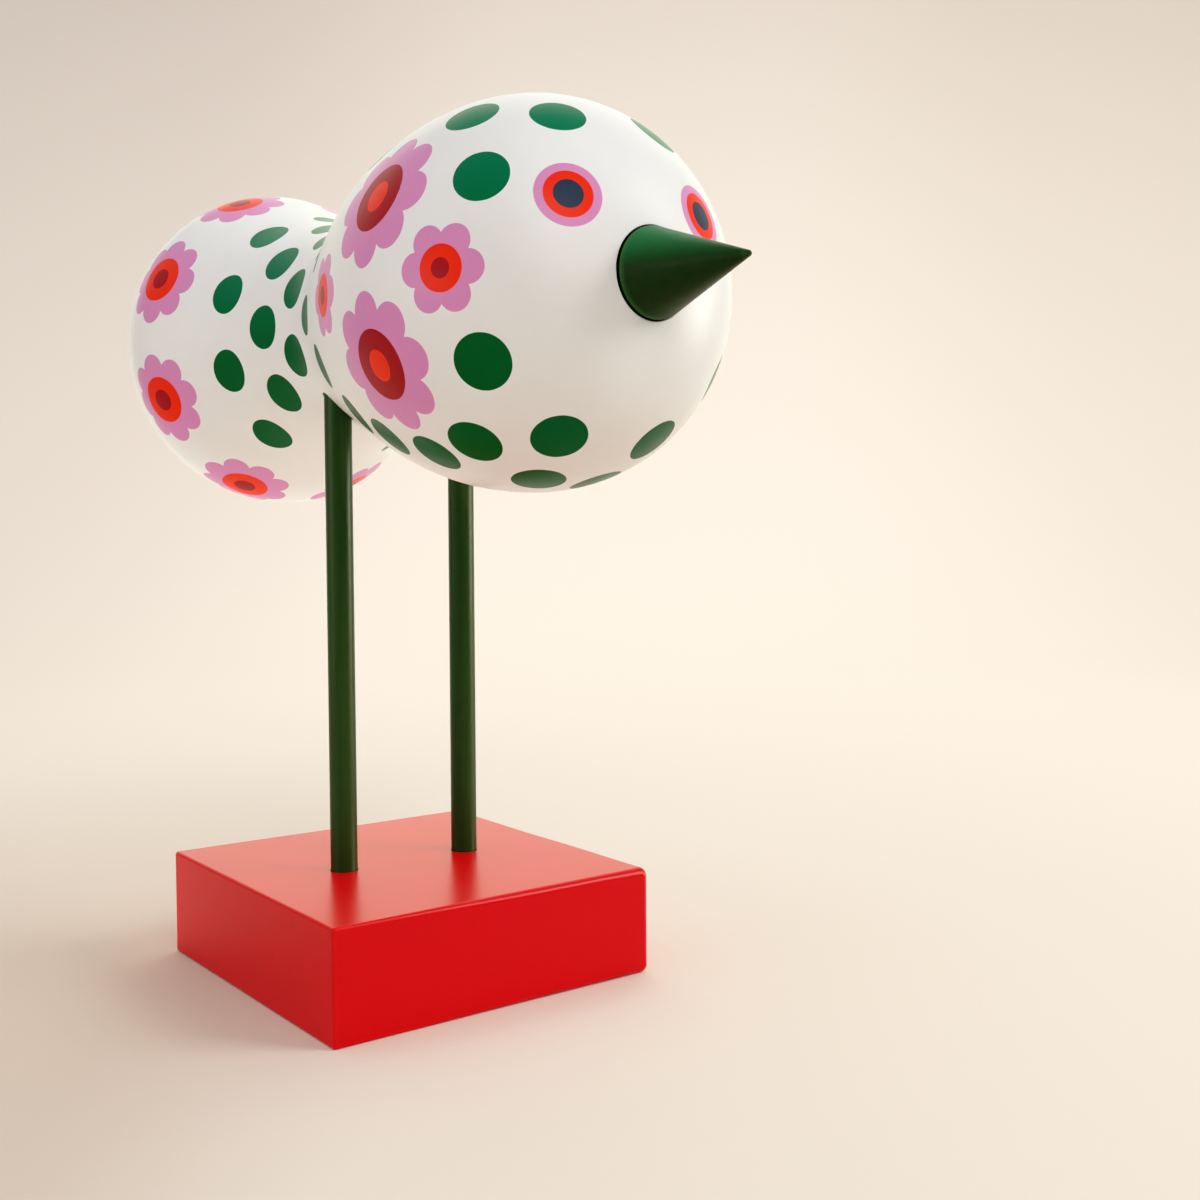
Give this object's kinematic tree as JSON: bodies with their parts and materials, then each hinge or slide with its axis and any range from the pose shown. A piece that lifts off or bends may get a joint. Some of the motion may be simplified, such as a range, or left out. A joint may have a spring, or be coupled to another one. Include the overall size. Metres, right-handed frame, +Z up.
{
  "type": "ceramic bird figurine",
  "caption": "Standing decorative bird with a round head, narrow waist and round rear, a cone beak and thin rod legs set in a square block plinth.",
  "frame": {"origin": "middle of the plinth's underside, on the surface that the figurine stands on", "axes": "+Z up; the bird looks along -Y, so +X is its left side; the two legs stand side by side on the X axis"},
  "size_m": [0.1, 0.2663, 0.2343],
  "materials": {
    "body": "satin white glaze with printed green dots, flowers and ringed eyes",
    "beak": "satin green paint",
    "legs": "satin green paint",
    "plinth": "satin red paint"
  },
  "bodies": {
    "root": {"plinth": "plinth", "leg_right": "legs", "leg_left": "legs", "body": "body", "beak": "beak"}
  },
  "joints": []
}
